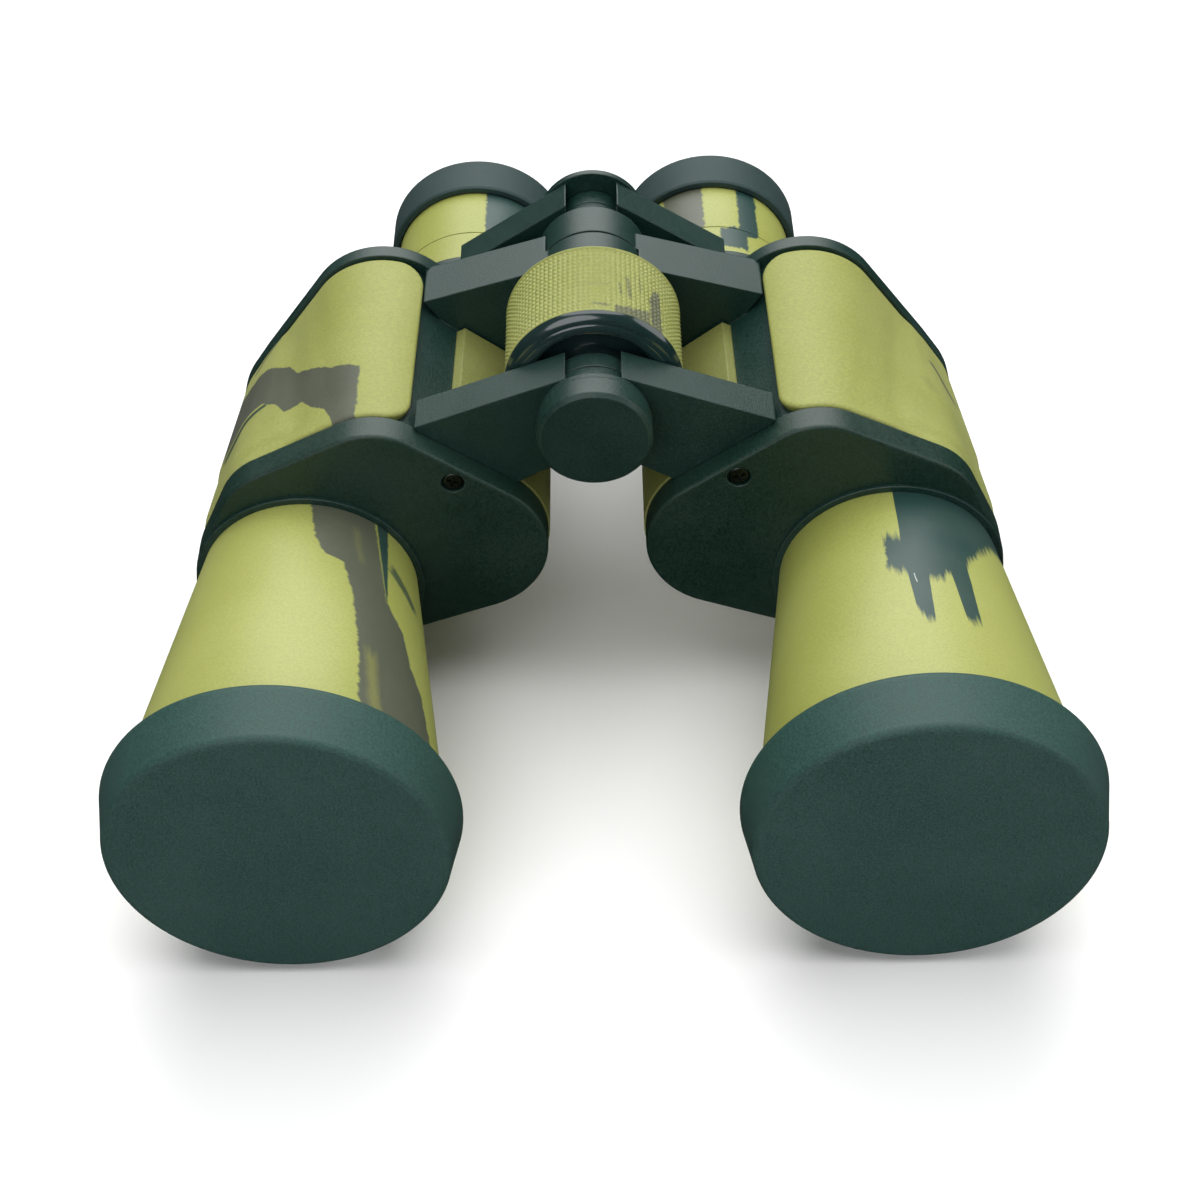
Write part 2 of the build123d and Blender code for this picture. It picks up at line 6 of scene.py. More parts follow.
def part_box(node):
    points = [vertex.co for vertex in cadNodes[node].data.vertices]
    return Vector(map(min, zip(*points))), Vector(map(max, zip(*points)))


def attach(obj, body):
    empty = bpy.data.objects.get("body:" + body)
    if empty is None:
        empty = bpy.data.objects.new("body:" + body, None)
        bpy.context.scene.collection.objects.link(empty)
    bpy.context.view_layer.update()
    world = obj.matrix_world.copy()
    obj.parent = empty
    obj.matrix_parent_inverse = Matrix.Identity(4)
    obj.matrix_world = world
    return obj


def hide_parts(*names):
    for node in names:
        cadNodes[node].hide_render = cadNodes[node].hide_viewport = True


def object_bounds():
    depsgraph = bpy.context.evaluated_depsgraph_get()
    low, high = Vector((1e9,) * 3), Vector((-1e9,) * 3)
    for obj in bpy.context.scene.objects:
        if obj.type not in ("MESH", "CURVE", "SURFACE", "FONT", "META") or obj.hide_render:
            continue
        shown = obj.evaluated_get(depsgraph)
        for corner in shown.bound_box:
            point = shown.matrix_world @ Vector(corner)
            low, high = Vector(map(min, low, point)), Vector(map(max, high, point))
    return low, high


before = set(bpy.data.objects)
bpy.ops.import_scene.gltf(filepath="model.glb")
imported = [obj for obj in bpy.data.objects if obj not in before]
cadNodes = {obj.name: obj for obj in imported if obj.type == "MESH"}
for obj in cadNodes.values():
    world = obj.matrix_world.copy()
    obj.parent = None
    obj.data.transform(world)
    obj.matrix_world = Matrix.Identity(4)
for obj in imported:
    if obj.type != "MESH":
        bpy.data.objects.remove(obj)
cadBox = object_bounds()
mm = 0.001
perMetre = 1000  # millimetres in a metre
halves = {"left": -1, "right": 1}  # side of the hinge each half is on
middle = (cadBox[0] + cadBox[1]) / 2


def axisOf(node):  # middle of a piece, which lies on its axis
    low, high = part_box(node)
    return (low + high) / 2


def addNode(tree, kind, inputs=None, **options):
    node = tree.nodes.new(kind)
    for option, value in options.items():
        setattr(node, option, value)
    for socket, value in (inputs or {}).items():
        if isinstance(value, bpy.types.NodeSocket):
            tree.links.new(value, node.inputs[socket])
        else:
            node.inputs[socket].default_value = value
    return node


def calc(tree, operation, first, second=0.0, clamp=False):
    node = addNode(tree, "ShaderNodeMath", {0: first, 1: second}, operation=operation, use_clamp=clamp)
    return node.outputs[0]


def vectorCalc(tree, operation, first, second=(0, 0, 0)):
    node = addNode(tree, "ShaderNodeVectorMath", {0: first, 1: second}, operation=operation)
    return node.outputs[0]


def mixColour(tree, factor, first, second, blend="MIX"):
    node = addNode(tree, "ShaderNodeMix", data_type="RGBA", blend_type=blend)
    for socket, value in ((0, factor), (6, first), (7, second)):
        if isinstance(value, bpy.types.NodeSocket):
            tree.links.new(value, node.inputs[socket])
        elif socket == 0:
            node.inputs[socket].default_value = value
        else:
            node.inputs[socket].default_value = (*value, 1)
    return node.outputs[2]


def remap(tree, value, fromLow, fromHigh, toLow=0.0, toHigh=1.0, smooth=False):
    node = addNode(
        tree,
        "ShaderNodeMapRange",
        {"Value": value, "From Min": fromLow, "From Max": fromHigh, "To Min": toLow, "To Max": toHigh},
        interpolation_type="SMOOTHSTEP" if smooth else "LINEAR",
    )
    return node.outputs[0]


def noise(tree, vector, scale, detail=2.0, rough=0.5):
    node = addNode(
        tree, "ShaderNodeTexNoise", {"Vector": vector, "Scale": scale, "Detail": detail, "Roughness": rough}
    )
    return node.outputs["Fac"]


def startGroup(name, inputs, outputs):
    group = bpy.data.node_groups.new(name, "ShaderNodeTree")
    for socket, kind, value in inputs:
        made = group.interface.new_socket(socket, in_out="INPUT", socket_type="NodeSocket" + kind)
        if value is not None:
            made.default_value = value
    for socket, kind in outputs:
        group.interface.new_socket(socket, in_out="OUTPUT", socket_type="NodeSocket" + kind)
    return group, group.nodes.new("NodeGroupInput").outputs, group.nodes.new("NodeGroupOutput").inputs


def useGroup(tree, group, **inputs):
    node = tree.nodes.new("ShaderNodeGroup")
    node.node_tree = group
    for socket, value in inputs.items():
        if isinstance(value, bpy.types.NodeSocket):
            tree.links.new(value, node.inputs[socket])
        else:
            node.inputs[socket].default_value = value
    return node.outputs


def makeWrapGroup():
    # unrolls a round piece: X is millimetres round from the top, Y millimetres along, Z away from the axis
    tree, given, result = startGroup(
        "unrolledCoordinates",
        [("Vector", "Vector", None), ("Axis", "Vector", (0, 0, 0)), ("Radius", "Float", 25.0)],
        [("Vector", "Vector")],
    )
    local = vectorCalc(tree, "SUBTRACT", given["Vector"], given["Axis"])
    split = addNode(tree, "ShaderNodeSeparateXYZ", {0: local}).outputs
    angle = calc(tree, "ARCTAN2", split["X"], split["Z"])
    along = calc(tree, "MULTIPLY", split["Y"], perMetre)
    sideways = calc(tree, "MULTIPLY", angle, given["Radius"])
    squares = calc(tree, "ADD", calc(tree, "POWER", split["X"], 2), calc(tree, "POWER", split["Z"], 2))
    away = calc(tree, "MULTIPLY", calc(tree, "SQRT", squares), perMetre)
    joined = addNode(tree, "ShaderNodeCombineXYZ", {"X": sideways, "Y": along, "Z": away})
    tree.links.new(joined.outputs[0], result["Vector"])
    return tree


def makeStrokeGroup():
    # one brush stroke with wavy sides and frayed ends, for camouflage paint and for painted shadow along
    # the armour's thumb pad
    tree, given, result = startGroup(
        "brushStroke",
        [
            ("Vector", "Vector", None),
            ("Centre", "Vector", (0, 0, 0)),
            ("Turn", "Float", 0.0),
            ("HalfWidth", "Float", 4.0),
            ("HalfLength", "Float", 10.0),
            ("Wave", "Float", 2.0),
            ("Fray", "Float", 6.0),
            ("Soft", "Float", 0.5),
        ],
        [("Mask", "Float")],
    )
    local = vectorCalc(tree, "SUBTRACT", given["Vector"], given["Centre"])
    flat = vectorCalc(tree, "MULTIPLY", local, (1, 1, 0))
    turned = addNode(
        tree, "ShaderNodeVectorRotate", {"Vector": flat, "Angle": given["Turn"]}, rotation_type="Z_AXIS"
    ).outputs[0]
    split = addNode(tree, "ShaderNodeSeparateXYZ", {0: turned}).outputs
    seedy = vectorCalc(tree, "ADD", turned, given["Centre"])
    wander = calc(tree, "SUBTRACT", noise(tree, seedy, 0.16, 3.0, 0.6), 0.5)
    bristles = vectorCalc(tree, "MULTIPLY", seedy, (1.0, 0.07, 1.0))
    streaks = calc(tree, "SUBTRACT", noise(tree, bristles, 0.9, 3.0, 0.6), 0.5)
    across = calc(tree, "ADD", split["X"], calc(tree, "MULTIPLY", wander, given["Wave"]))
    side = calc(tree, "SUBTRACT", given["HalfWidth"], calc(tree, "ABSOLUTE", across))
    side = calc(tree, "ADD", side, calc(tree, "MULTIPLY", streaks, 0.8))
    end = calc(tree, "SUBTRACT", given["HalfLength"], calc(tree, "ABSOLUTE", split["Y"]))
    end = calc(tree, "ADD", end, calc(tree, "MULTIPLY", streaks, given["Fray"]))
    sideMask = calc(tree, "DIVIDE", side, given["Soft"], True)
    endSoft = calc(tree, "ADD", given["Soft"], calc(tree, "MULTIPLY", given["Fray"], 0.3))
    endMask = calc(tree, "DIVIDE", end, endSoft, True)
    tree.links.new(calc(tree, "MINIMUM", sideMask, endMask), result["Mask"])
    return tree


def makeBandGroup():
    # painted area between two edge lines, with brush marks that run across those lines
    tree, given, result = startGroup(
        "paintedArea",
        [
            ("Across", "Float", 0.0),
            ("Along", "Float", 0.0),
            ("Low", "Float", -1.0),
            ("High", "Float", 1.0),
            ("Start", "Float", -10.0),
            ("End", "Float", 10.0),
            ("Jag", "Float", 1.0),
            ("Soft", "Float", 0.6),
        ],
        [("Mask", "Float")],
    )
    close = calc(tree, "MULTIPLY", given["Along"], 0.75)
    drawn = calc(tree, "MULTIPLY", given["Across"], 0.05)
    bristle = addNode(tree, "ShaderNodeCombineXYZ", {"X": close, "Y": drawn}).outputs[0]
    marks = calc(tree, "SUBTRACT", noise(tree, bristle, 1.0, 4.0, 0.7), 0.5)
    marks = calc(tree, "MULTIPLY", marks, calc(tree, "MULTIPLY", given["Jag"], 3.0))
    crossing = addNode(
        tree, "ShaderNodeCombineXYZ", {"X": given["Along"], "Y": given["Across"], "Z": 4.0}
    ).outputs[0]
    wander = calc(tree, "MULTIPLY", calc(tree, "SUBTRACT", noise(tree, crossing, 0.7, 3.0, 0.6), 0.5), 1.6)
    upper = calc(tree, "SUBTRACT", calc(tree, "ADD", given["High"], marks), given["Across"])
    lower = calc(tree, "SUBTRACT", given["Across"], calc(tree, "ADD", given["Low"], marks))
    first = calc(tree, "SUBTRACT", calc(tree, "ADD", given["Along"], wander), given["Start"])
    last = calc(tree, "SUBTRACT", given["End"], calc(tree, "ADD", given["Along"], wander))
    mask = 1.0
    for distance, softness in ((upper, given["Soft"]), (lower, given["Soft"]), (first, 0.5), (last, 0.5)):
        mask = calc(tree, "MINIMUM", calc(tree, "DIVIDE", distance, softness, True), mask)
    tree.links.new(mask, result["Mask"])
    return tree


def makeGrainGroup():
    # moulded or sprayed fine grain: a height for bump and a mask for slight colour change
    tree, given, result = startGroup(
        "fineGrain",
        [("Vector", "Vector", None), ("Size", "Float", 0.35)],
        [("Height", "Float"), ("Mask", "Float")],
    )
    scale = calc(tree, "DIVIDE", perMetre, given["Size"])
    cells = addNode(
        tree, "ShaderNodeTexVoronoi", {"Vector": given["Vector"], "Scale": scale, "Randomness": 1.0}
    ).outputs["Distance"]
    fine = noise(tree, given["Vector"], calc(tree, "MULTIPLY", scale, 0.7), 3.0, 0.65)
    height = calc(tree, "ADD", calc(tree, "MULTIPLY", cells, 0.5), fine)
    tree.links.new(height, result["Height"])
    tree.links.new(remap(tree, fine, 0.34, 0.66), result["Mask"])
    return tree


wearLook = {
    "bevel": 0.45,  # millimetres that edges look rounded by
    "startsAt": 0.995,
    "fullAt": 0.86,
    "patches": 260.0,
}
dustLook = {"clouds": 45.0, "specks": 1900.0, "cloudShare": 0.6, "speckShare": 0.5}


def makeWearGroup():
    # rubbed edges: where the rounded normal leaves the true one; also gives that rounded normal
    tree, given, result = startGroup(
        "edgeWear",
        [("Vector", "Vector", None), ("Amount", "Float", 0.5)],
        [("Mask", "Float"), ("Normal", "Vector")],
    )
    rounded = addNode(tree, "ShaderNodeBevel", {"Radius": wearLook["bevel"] * mm}, samples=6).outputs[0]
    plain = addNode(tree, "ShaderNodeNewGeometry").outputs["Normal"]
    compared = addNode(tree, "ShaderNodeVectorMath", {0: rounded, 1: plain}, operation="DOT_PRODUCT")
    edge = remap(tree, compared.outputs["Value"], wearLook["startsAt"], wearLook["fullAt"])
    patchy = remap(tree, noise(tree, given["Vector"], wearLook["patches"], 4.0, 0.6), 0.36, 0.62)
    mask = calc(tree, "MULTIPLY", calc(tree, "MULTIPLY", edge, patchy), given["Amount"])
    tree.links.new(mask, result["Mask"])
    tree.links.new(rounded, result["Normal"])
    return tree


def makeDustGroup():
    # faint handling film: broad cloudy areas and a few specks
    tree, given, result = startGroup(
        "handlingDust", [("Vector", "Vector", None), ("Amount", "Float", 0.3)], [("Mask", "Float")]
    )
    cloud = remap(tree, noise(tree, given["Vector"], dustLook["clouds"], 4.0, 0.6), 0.4, 0.75)
    specks = remap(tree, noise(tree, given["Vector"], dustLook["specks"], 1.0, 0.5), 0.7, 0.78)
    cloud = calc(tree, "MULTIPLY", cloud, dustLook["cloudShare"])
    both = calc(tree, "ADD", cloud, calc(tree, "MULTIPLY", specks, dustLook["speckShare"]))
    tree.links.new(calc(tree, "MULTIPLY", both, given["Amount"], True), result["Mask"])
    return tree


wrapGroup = makeWrapGroup()
strokeGroup = makeStrokeGroup()
bandGroup = makeBandGroup()
grainGroup = makeGrainGroup()
wearGroup = makeWearGroup()
dustGroup = makeDustGroup()
print("shared effects made")


def startMaterial(name, **values):
    material = bpy.data.materials.new(name)
    material.use_nodes = True
    tree = material.node_tree
    shader = tree.nodes["Principled BSDF"]
    for socket, value in values.items():
        shader.inputs[socket.replace("_", " ")].default_value = value
    place = addNode(tree, "ShaderNodeTexCoord").outputs["Object"]
    return material, tree, shader, place


def bumpInto(tree, shader, height, strength, distance, normal=None):
    inputs = {"Height": height, "Strength": strength, "Distance": distance}
    if normal is not None:
        inputs["Normal"] = normal
    tree.links.new(addNode(tree, "ShaderNodeBump", inputs).outputs[0], shader.inputs["Normal"])


def mouldedPlastic(name, colour, worn, roughness, grainSize, depth, wearAmount):
    material, tree, shader, place = startMaterial(name, Metallic=0.0)
    grain = useGroup(tree, grainGroup, Vector=place, Size=grainSize)
    wear = useGroup(tree, wearGroup, Vector=place, Amount=wearAmount)
    dust = useGroup(tree, dustGroup, Vector=place, Amount=0.25)
    paler = tuple(c * 1.45 + 0.004 for c in colour)
    darker = tuple(c * 0.72 for c in colour)
    shade = mixColour(tree, grain["Mask"], darker, paler)
    shade = mixColour(tree, dust["Mask"], shade, worn)
    shade = mixColour(tree, wear["Mask"], shade, worn)
    tree.links.new(shade, shader.inputs["Base Color"])
    rough = remap(tree, grain["Mask"], 0, 1, roughness - 0.05, roughness + 0.07)
    rough = calc(tree, "ADD", rough, calc(tree, "MULTIPLY", dust["Mask"], 0.2))
    tree.links.new(rough, shader.inputs["Roughness"])
    bumpInto(tree, shader, grain["Height"], 0.55, depth * mm, wear["Normal"])
    return material


camouflage = {
    "olive": (0.300, 0.325, 0.072),
    "paleOlive": (0.335, 0.360, 0.096),
    "brownGrey": (0.082, 0.092, 0.062),
    "blueGreen": (0.014, 0.048, 0.042),
    "khaki": (0.185, 0.190, 0.062),
    "chip": (0.55, 0.60, 0.55),
    "rubbed": (0.45, 0.46, 0.30),
}


def edgeLine(tree, along, points):
    # a straight-sided line through the points (position, value) as one curve
    lows, values = [p[0] for p in points], [p[1] for p in points]
    bottom, top = min(values), max(values) + 0.001
    node = addNode(tree, "ShaderNodeFloatCurve", {"Value": remap(tree, along, lows[0], lows[-1])})
    curve = node.mapping.curves[0]
    spots = [((p - lows[0]) / (lows[-1] - lows[0]), (v - bottom) / (top - bottom)) for p, v in points]
    curve.points[0].location = spots[0]
    curve.points[1].location = spots[-1]
    for spot in spots[1:-1]:
        curve.points.new(*spot)
    for point in curve.points:
        point.handle_type = "VECTOR"
    node.mapping.update()
    return remap(tree, node.outputs[0], 0, 1, bottom, top)


def paintedMask(tree, band, coordinates):
    split = addNode(tree, "ShaderNodeSeparateXYZ", {0: coordinates}).outputs
    along, across = (split["X"], split["Y"]) if band["runs"] == "around" else (split["Y"], split["X"])
    return useGroup(
        tree,
        bandGroup,
        Across=across,
        Along=along,
        Low=edgeLine(tree, along, band["low"]),
        High=edgeLine(tree, along, band["high"]),
        Start=band["start"],
        End=band["end"],
        Jag=band["jag"],
        Soft=band["soft"],
    )["Mask"]


def strokeMask(tree, stroke, coordinates):
    run = Vector(stroke["end"]) - Vector(stroke["start"])
    centre = (Vector(stroke["start"]) + Vector(stroke["end"])) / 2
    return useGroup(
        tree,
        strokeGroup,
        Vector=coordinates,
        Centre=(centre.x, centre.y, 0),
        Turn=math.atan2(run.x, run.y),
        HalfWidth=stroke["width"] / 2,
        HalfLength=run.length / 2,
        Wave=stroke["wave"],
        Fray=stroke["fray"],
        Soft=stroke["soft"],
    )["Mask"]


def camouflageCoat(name, look, bands, strokes):
    # look says what axis and radius to unroll round, or None to paint straight down on the plan
    material, tree, shader, place = startMaterial(name, Metallic=0.0)
    grain = useGroup(tree, grainGroup, Vector=place, Size=look["grain"])
    wear = useGroup(tree, wearGroup, Vector=place, Amount=0.12)
    dust = useGroup(tree, dustGroup, Vector=place, Amount=0.2)
    if look["radius"]:
        wrapped = useGroup(tree, wrapGroup, Vector=place, Axis=look["axis"], Radius=look["radius"])
        coordinates = wrapped["Vector"]
    else:
        coordinates = vectorCalc(tree, "MULTIPLY", place, (perMetre, perMetre, perMetre))
    broad = remap(tree, noise(tree, place, 28.0, 3.0, 0.5), 0.35, 0.65)
    shade = mixColour(tree, broad, camouflage["olive"], camouflage["paleOlive"])
    for band in bands:
        mask = calc(tree, "MULTIPLY", paintedMask(tree, band, coordinates), band["cover"])
        shade = mixColour(tree, mask, shade, camouflage[band["colour"]])
    for stroke in strokes:
        mask = calc(tree, "MULTIPLY", strokeMask(tree, stroke, coordinates), stroke["cover"])
        shade = mixColour(tree, mask, shade, camouflage[stroke["colour"]])
    # the look's tone scales the colour: a real tone on the paint and outer rubber, painted shade on the
    # inner armour
    speckleAndShade = remap(tree, grain["Mask"], 0, 1, 0.88 * look["toneAndPaintedShade"], 1.1 * look["toneAndPaintedShade"])
    tint = addNode(tree, "ShaderNodeCombineXYZ", {"X": speckleAndShade, "Y": speckleAndShade, "Z": speckleAndShade}).outputs[0]
    shade = mixColour(tree, 1.0, shade, tint, "MULTIPLY")
    rubbed = calc(tree, "ADD", wear["Mask"], calc(tree, "MULTIPLY", dust["Mask"], 0.4), True)
    shade = mixColour(tree, rubbed, shade, camouflage["rubbed"])
    tree.links.new(shade, shader.inputs["Base Color"])
    rough = remap(tree, grain["Mask"], 0, 1, look["roughness"] - 0.05, look["roughness"] + 0.06)
    rough = calc(tree, "ADD", rough, calc(tree, "MULTIPLY", dust["Mask"], 0.15))
    tree.links.new(rough, shader.inputs["Roughness"])
    bumpInto(tree, shader, grain["Height"], 0.5, look["depth"] * mm, wear["Normal"])
    return material


def machinedMetal(name, colour, roughness, axis, lines=3.5):
    # turned metal with fine tool rings along its own axis
    material, tree, shader, place = startMaterial(name, Metallic=1.0)
    unrolled = useGroup(tree, wrapGroup, Vector=place, Axis=axis, Radius=10.0)["Vector"]
    rings = vectorCalc(tree, "MULTIPLY", unrolled, (0.02, lines, lines))
    turning = noise(tree, rings, 1.0, 3.0, 0.7)
    dust = useGroup(tree, dustGroup, Vector=place, Amount=0.4)
    shade = mixColour(tree, remap(tree, turning, 0.3, 0.7), tuple(c * 0.85 for c in colour), colour)
    shade = mixColour(tree, dust["Mask"], shade, tuple(c * 0.6 for c in colour))
    tree.links.new(shade, shader.inputs["Base Color"])
    tree.links.new(remap(tree, turning, 0.3, 0.7, roughness, roughness + 0.12), shader.inputs["Roughness"])
    bumpInto(tree, shader, turning, 0.3, 0.02 * mm)
    return material


def coatedGlass(name, tint, coating):
    material, tree, shader, place = startMaterial(
        name, Metallic=0.0, Transmission_Weight=1.0, IOR=1.52, Coat_Weight=0.6, Coat_Roughness=0.02
    )
    shader.inputs["Coat Tint"].default_value = (*coating, 1)
    dust = useGroup(tree, dustGroup, Vector=place, Amount=0.12)
    tree.links.new(mixColour(tree, dust["Mask"], tint, (0.8, 0.8, 0.8)), shader.inputs["Base Color"])
    tree.links.new(remap(tree, dust["Mask"], 0, 1, 0.015, 0.12), shader.inputs["Roughness"])
    return material


def glossyPlastic(name, colour):
    material, tree, shader, place = startMaterial(name, Metallic=0.0, Coat_Roughness=0.05)
    dust = useGroup(tree, dustGroup, Vector=place, Amount=0.3)
    grain = useGroup(tree, grainGroup, Vector=place, Size=1.2)
    shade = mixColour(tree, dust["Mask"], colour, (0.08, 0.09, 0.09))
    tree.links.new(shade, shader.inputs["Base Color"])
    tree.links.new(remap(tree, dust["Mask"], 0, 1, 0.16, 0.4), shader.inputs["Roughness"])
    tree.links.new(remap(tree, dust["Mask"], 0, 1, 0.7, 0.2), shader.inputs["Coat Weight"])
    bumpInto(tree, shader, grain["Height"], 0.15, 0.01 * mm)
    return material


teal = {
    "housing": (0.002, 0.022, 0.016),
    "cap": (0.012, 0.052, 0.042),
    "cup": (0.006, 0.028, 0.026),
    "plate": (0.001, 0.020, 0.012),
    "wheel": (0.008, 0.026, 0.025),
    "worn": (0.060, 0.095, 0.090),
    "wornCup": (0.08, 0.10, 0.10),
}
# each takes colour, worn colour, roughness, grain size, grain depth, wear
darkPlastic = mouldedPlastic("darkPlastic", teal["housing"], teal["worn"], 0.42, 0.35, 0.06, 0.5)
capPlastic = mouldedPlastic("capPlastic", teal["cap"], teal["worn"], 0.6, 0.28, 0.05, 0.2)
cupRubber = mouldedPlastic("eyecupRubber", teal["cup"], teal["wornCup"], 0.66, 0.3, 0.05, 0.2)
platePlastic = mouldedPlastic("platePlastic", teal["plate"], teal["worn"], 0.46, 0.4, 0.06, 0.4)
wheelPlastic = glossyPlastic("glossyWheelPlastic", teal["wheel"])
hingeAxis = axisOf("hinge_cap")
brass = machinedMetal("machinedBrass", (0.62, 0.42, 0.16), 0.25, hingeAxis)
steel = machinedMetal("machinedSteel", (0.42, 0.43, 0.44), 0.28, hingeAxis, 1.5)
darkSteel = machinedMetal("blackenedSteel", (0.06, 0.07, 0.07), 0.3, hingeAxis, 1.5)
anodised = machinedMetal("blackAnodised", (0.020, 0.020, 0.022), 0.42, hingeAxis)
lensGlass = coatedGlass("coatedLensGlass", (0.96, 0.99, 0.97), (0.55, 0.85, 0.6))
prismGlass = coatedGlass("prismGlass", (0.97, 0.99, 0.99), (0.8, 0.9, 1.0))


def area(colour, runs, low, high, start, end, jag=0.5, soft=0.6, cover=1.0, perDegree=1.0):
    # the angle of each point is given in degrees; perDegree turns it into millimetres round the piece
    if runs == "around":
        low, high = ([(a * perDegree, y) for a, y in line] for line in (low, high))
        start, end = start * perDegree, end * perDegree
    else:
        low, high = ([(y, a * perDegree) for y, a in line] for line in (low, high))
    return dict(
        colour=colour, runs=runs, low=low, high=high, start=start, end=end, jag=jag, soft=soft, cover=cover
    )


def smear(colour, start, end, width, wave=1.0, fray=3.0, soft=0.6, cover=1.0, perDegree=1.0):
    start, end = ((a * perDegree, y) for a, y in (start, end))
    return dict(
        colour=colour, start=start, end=end, width=width, wave=wave, fray=fray, soft=soft, cover=cover
    )


paintRadius = {"barrel": 25.0, "head": 18.4, "wheel": 17.7}  # millimetres, where the paint is unrolled
barrelRound = paintRadius["barrel"] * math.pi / 180
headRound = paintRadius["head"] * math.pi / 180
wheelRound = paintRadius["wheel"] * math.pi / 180
barrelPaint = {
    "left": (
        [
            area(
                "brownGrey",
                "lengthwise",
                [(-90, 33), (-59, 32), (-47, 29), (-37.6, 24.5), (-36, 15), (-31, 10), (-15, 3.5)],
                [(-90, 78), (-63, 68), (-58, 61), (-50, 58), (-44, 48), (-31, 45), (-15, 41)],
                -95,
                0,
                0.7,
                0.5,
                perDegree=barrelRound,
            ),
            area(
                "blueGreen",
                "lengthwise",
                [(-46, 47.5), (-22, 43), (-12, 42)],
                [(-46, 48), (-22, 51), (-12, 53)],
                -44,
                0,
                0.4,
                0.4,
                perDegree=barrelRound,
            ),
            area(
                "brownGrey",
                "around",
                [(95, -8), (178, -12), (250, -9)],
                [(95, 30), (178, 30), (250, 30)],
                100,
                180,
                7.0,
                2.0,
                perDegree=barrelRound,
            ),
        ],
        [
            smear("blueGreen", (50, -31), (72, -38), 3.6, 1.0, 3.0, 1.0, 0.8, barrelRound),
            smear("khaki", (38, -60), (40, -84), 3.4, 1.5, 8.0, 1.4, 0.8, barrelRound),
            smear("khaki", (30, -24), (34, -36), 2.4, 1.5, 5.0, 1.2, 0.4, barrelRound),
        ],
    ),
    "right": (
        [
            area(
                "blueGreen",
                "around",
                [
                    (-12, -47),
                    (-2, -48),
                    (-1, -60),
                    (5, -64),
                    (6.5, -51),
                    (17, -48),
                    (18, -62),
                    (24, -62),
                    (26, -43),
                    (50, -31),
                    (100, -27),
                ],
                [(-12, -33.5), (-2, -34.5), (-1.5, -10), (100, -8)],
                -10.5,
                96,
                3.2,
                2.4,
                perDegree=barrelRound,
            ),
            area(
                "brownGrey",
                "around",
                [(-175, -9), (-120, -14), (-80, -10)],
                [(-175, 30), (-120, 30), (-80, 30)],
                -150,
                -95,
                7.0,
                2.0,
                perDegree=barrelRound,
            ),
        ],
        [smear("chip", (0.4, -47.5), (1.2, -50.5), 0.3, 0.3, 0.6, 0.15, 0.9, barrelRound)],
    ),
}
headPaint = {
    "left": (
        [
            area(
                "blueGreen",
                "around",
                [(5, 65.2), (70, 65.2)],
                [(5, 99), (70, 99)],
                8,
                62,
                0.0,
                0.2,
                perDegree=headRound,
            ),
            area(
                "brownGrey",
                "around",
                [(90, 54), (179, 50)],
                [(90, 99), (179, 99)],
                100,
                178,
                2.0,
                0.6,
                perDegree=headRound,
            ),
        ],
        [],
    ),
    "right": (
        [
            area(
                "brownGrey",
                "around",
                [(-40, 65.2), (0, 65.2)],
                [(-40, 99), (0, 99)],
                -36,
                -5,
                0.0,
                0.2,
                perDegree=headRound,
            ),
            area(
                "blueGreen",
                "around",
                [(10, 60), (36, 65)],
                [(10, 99), (36, 99)],
                18,
                34,
                0.8,
                0.4,
                perDegree=headRound,
            ),
            area(
                "blueGreen",
                "around",
                [(0, 57.5), (30, 57.5)],
                [(0, 63.5), (12, 66), (30, 66)],
                4,
                25,
                1.2,
                0.6,
                perDegree=headRound,
            ),
            area(
                "brownGrey",
                "around",
                [(90, 54), (179, 50)],
                [(90, 99), (179, 99)],
                120,
                178,
                2.0,
                0.6,
                perDegree=headRound,
            ),
        ],
        [],
    ),
}
# outer armour camouflage; its dark strokes along the thumb pad are partly paint and partly painted shadow
# of the pad's edges
armourPaintAndShadow = {
    "left": (
        [
            area(
                "brownGrey",
                "around",
                [
                    (-80, 7),
                    (-68.4, 8.4),
                    (-65, 5),
                    (-62.5, -0.3),
                    (-58.7, -0.1),
                    (-56.5, -4),
                    (-53.1, -7.7),
                    (-51.7, -11.1),
                    (-50.6, -15),
                    (-44, -15),
                ],
                [
                    (-80, 29),
                    (-74.2, 28.3),
                    (-69.8, 25.7),
                    (-63.1, 17.9),
                    (-60.8, 12.8),
                    (-52.6, 5.1),
                    (-44, 1),
                ],
                -95,
                -46.2,
                0.5,
                0.35,
            )
        ],
        [
            # blue-green strokes at both ends of the thumb pad: partly paint, partly painted shadow of its
            # edges
            smear("blueGreen", (-67.2, 35.9), (-74.0, 33.0), 1.2, 0.6, 1.0, 0.3, 0.95),
            smear("blueGreen", (-67.0, 7.4), (-78.0, 5.9), 1.5, 0.6, 1.0, 0.4, 0.95),
        ],
    ),
    "right": (
        [],
        [
            # two brown-grey strokes forming a dark wedge on the outer side: partly paint, partly painted
            # shadow of a relief edge
            smear("brownGrey", (70.4, 25.0), (74.6, 19.0), 1.8, 0.8, 2.0, 0.5, 0.95),
            smear("brownGrey", (72.6, 21.5), (76.0, 17.5), 2.4, 0.8, 2.0, 0.6, 0.9),
            smear("khaki", (67, 14), (70, 8), 4.0, 2.0, 3.0, 1.5, 0.3),
        ],
    ),
}
